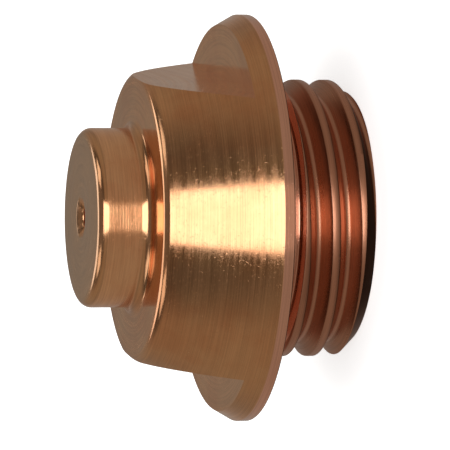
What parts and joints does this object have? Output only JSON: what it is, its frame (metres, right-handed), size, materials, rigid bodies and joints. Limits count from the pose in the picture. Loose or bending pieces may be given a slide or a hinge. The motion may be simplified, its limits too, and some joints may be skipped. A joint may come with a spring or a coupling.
{
  "type": "plasma torch nozzle",
  "caption": "Turned copper tip for a plasma cutting torch: screw thread and thin flange at the rear, tapered body with spanner flats, short nose with the arc orifice.",
  "frame": {"origin": "centre of the rear ring face, on the nozzle's axis, where the nozzle stands", "axes": "+Z along the axis from the screw thread to the nose; +X is square to one spanner flat"},
  "size_m": [0.0205, 0.0204, 0.0136],
  "materials": {
    "copper": "turned and polished bare copper with fine turning marks"
  },
  "bodies": {
    "root": {"torch_nozzle": "copper"}
  },
  "joints": []
}
